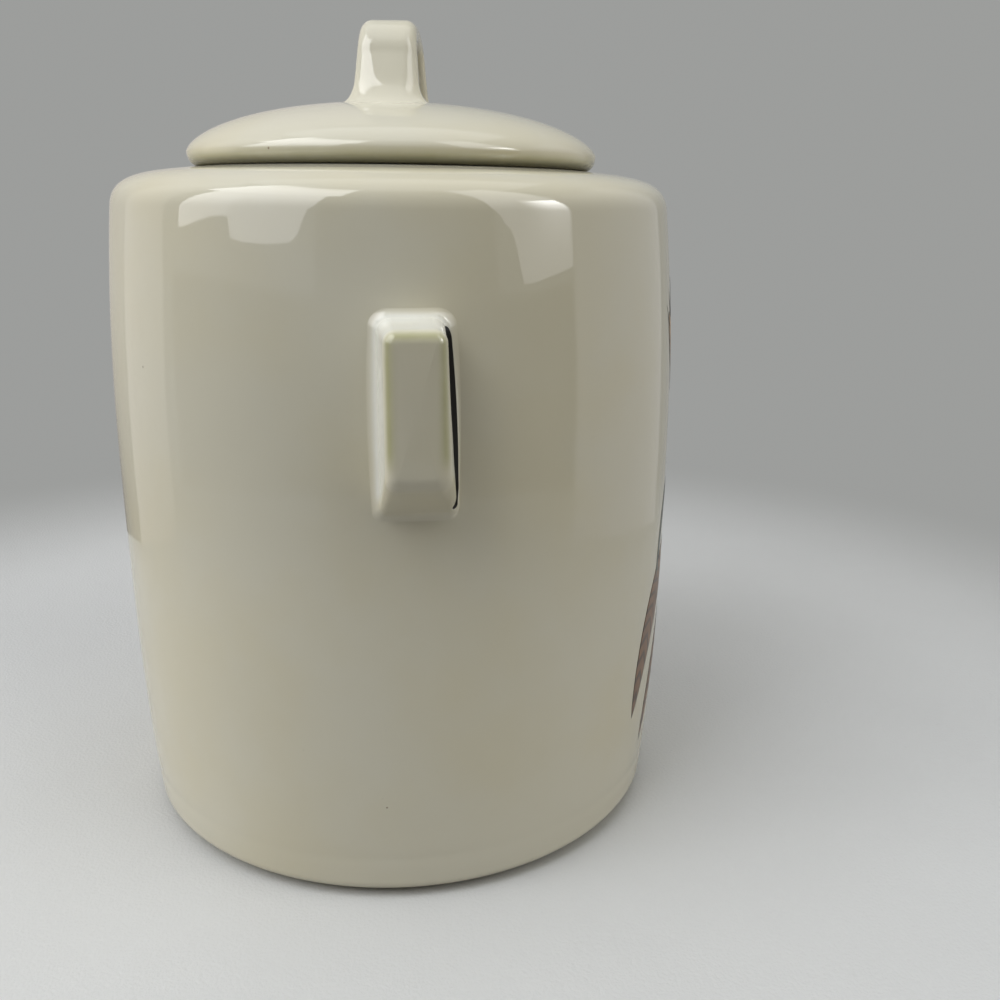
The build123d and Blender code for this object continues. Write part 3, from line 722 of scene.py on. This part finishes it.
def card(name, points, radiance, rise, colour=(1.0, 1.0, 1.0), fade=None):
    """A sheet that only mirror reflections see. Its radiance goes from one value to the other between
    two heights. Where a fade is given, the change comes in between those two values of X."""
    sheet = stage_sheet(name, points)
    glow = bpy.data.materials.new(name)
    glow.use_nodes = True
    glow.node_tree.nodes.clear()
    w = Wire(glow.node_tree)
    place = w.node("TexCoord", out=3)
    risen = w.node("SeparateXYZ", {}, {0: place}, 2).step(*rise)
    if fade is not None:
        risen = risen * w.node("SeparateXYZ", {}, {0: place}, 0).step(*fade)
    strength = radiance[0] + risen * (radiance[1] - radiance[0])
    w.node("OutputMaterial", {}, {0: w.node("Emission", {}, {"Color": (*colour, 1.0), "Strength": strength})})
    sheet.data.materials.append(glow)
    sheet.visible_camera = sheet.visible_diffuse = sheet.visible_shadow = sheet.visible_transmission = False


def screen(sill, top, radius):
    """Points of an upright sheet round the jar. Its lower edge passes through places given as angles
    from +X, in degrees, and heights. Its radius goes evenly from one end's to the other's."""
    turn, height = np.array(sill).T
    angle = np.linspace(turn[0], turn[-1], 65)
    lower = np.interp(angle, turn, height)
    height = lower + (top - lower) * np.linspace(0, 1, 9)[:, None]
    radius = np.interp(angle, turn[[0, -1]], radius) + 0 * height
    angle = np.radians(angle)
    return np.stack((radius * np.cos(angle), radius * np.sin(angle), height), axis=-1)


ROOM, GLARE, BOARD_WHITE = (0.50, 0.50), (0.49, 0.49), (1.0, 0.96, 0.90)
CEILING_Z = 1.30
FAR_LEFT_SILL = ((95, 0.237), (105, 0.250), (112, 0.258), (118, 0.262))
LEFT_SILL = ((117.5, 0.262), (118.5, 0.243), (124, 0.240), (134, 0.243), (141, 0.248), (144, 0.257),
             (146.5, 0.275), (148.5, 0.31), (149.5, 0.38), (150.5, 0.62))
RIGHT_SILL = ((211.8, 0.62), (212.2, 0.34), (213.4, 0.290), (216.3, 0.270), (218.6, 0.261), (220.1, 0.252),
              (221.1, 0.237), (221.9, 0.221), (222.8, 0.208), (226, 0.206), (237, 0.211), (244.2, 0.214))
ceiling = np.stack((*np.meshgrid((-0.6, 0.6), (-0.6, 0.6)), np.full((2, 2), CEILING_Z)), axis=-1)
# Each card: name, points, radiance low and high, the heights between which it changes, and for some
# the colour, and the two values of X between which the change comes in.
CARDS = (
    ("window_left", screen(FAR_LEFT_SILL, 0.62, ROOM), (2.6, 4.0), (0.24, 0.45)),
    ("window_left_middle", screen(LEFT_SILL, 0.62, ROOM), (2.2, 4.0), (0.25, 0.55)),
    ("window_left_high", screen(((84, 0.62), (156, 0.62)), CEILING_Z, ROOM), (4.6, 3.4), (0.9, 1.3)),
    ("window_right", screen(RIGHT_SILL, CEILING_Z, ROOM), (1.5, 2.5), (0.24, 0.50)),
    ("glare_right", screen(((223, 0.212), (243, 0.214)), 0.47, GLARE), (1.6, 13.0), (0.21, 0.48),
     (1.0, 1.0, 1.0), (-0.36, -0.26)),
    ("dark_room", screen(((92, 0.0), (244, 0.0)), 0.20, (0.53, 0.53)), (0.12, 0.06), (0.0, 0.2)),
    ("dark_room_middle", screen(((150, 0.2), (213, 0.2)), CEILING_Z, (0.52, 0.52)), (0.05, 0.3), (0.3, 1.3)),
    ("board_left", screen(((62, 0.0), (89.3, 0.0)), 0.7, (0.336, 0.374)), (0.60, 0.80), (0.0, 0.16),
     BOARD_WHITE),
    ("board_left_far", screen(((4, 0.0), (62, 0.0)), 0.7, (0.300, 0.336)), (0.22, 0.50), (0.0, 0.18),
     BOARD_WHITE),
    ("board_right", screen(((242.5, 0.0), (300, 0.0)), 0.5, (0.379, 0.350)), (0.56, 0.62), (0.0, 0.16)),
    ("ceiling", ceiling, (0.9, 0.9), (0.0, 1.0)),
)
for settings in CARDS:
    card(*settings)


def lamp(name, place, aim, size, radiance, colour=(1, 1, 1)):
    """A rectangular soft lamp at a place, facing a point, with this radiance. The glaze doesn't mirror
    it."""
    data = bpy.data.lights.new(name, "AREA")
    data.shape = "RECTANGLE"
    data.size, data.size_y = size
    data.energy = radiance * np.pi * size[0] * size[1]
    data.color = colour
    made = bpy.data.objects.new(name, data)
    towards = np.array(aim, float) - np.array(place, float)
    back = -towards / np.linalg.norm(towards)
    side = np.cross((0, 0.01, 1), back)
    side /= np.linalg.norm(side)
    over = np.cross(back, side)
    made.matrix_world = Matrix([(*row, spot) for row, spot in zip(np.stack((side, over, back)).T, place)]
                               + [(0, 0, 0, 1)])
    made.visible_glossy = False
    bpy.context.scene.collection.objects.link(made)


MIDDLE = (0, 0, 0.12)
LAMPS = (  # place, size, radiance and colour
    ("left_side", (0.10, 1.30, 0.25), (1.2, 0.8), 2.95, (1.0, 0.98, 0.91)),
    ("left_high", (-0.55, 0.85, 1.25), (1.0, 1.0), 3.6, (0.94, 0.97, 1.0)),
    ("right_high", (-0.70, -0.90, 1.20), (1.0, 1.0), 1.6, (0.98, 1.0, 0.94)),
    ("right_side", (-0.50, -1.28, 0.35), (1.0, 0.8), 1.6, (1.0, 0.97, 0.92)),
    ("overhead", (0.0, 0.0, 1.50), (1.2, 1.2), 2.3, (0.97, 0.99, 1.0)),
)
for name, place, size, radiance, colour in LAMPS:
    lamp(name, place, MIDDLE, size, radiance, colour)

world = bpy.data.worlds.new("room")
world.use_nodes = True
world.node_tree.nodes.clear()
w = Wire(world.node_tree)
seen = w.node("LightPath", out="Is Camera Ray") + w.node("LightPath", out="Is Glossy Ray")
room = w.node("Background", {}, {"Color": (*ROOM_GREY, 1.0), "Strength": seen})
w.node("OutputWorld", {}, {0: room})
bpy.context.scene.world = world
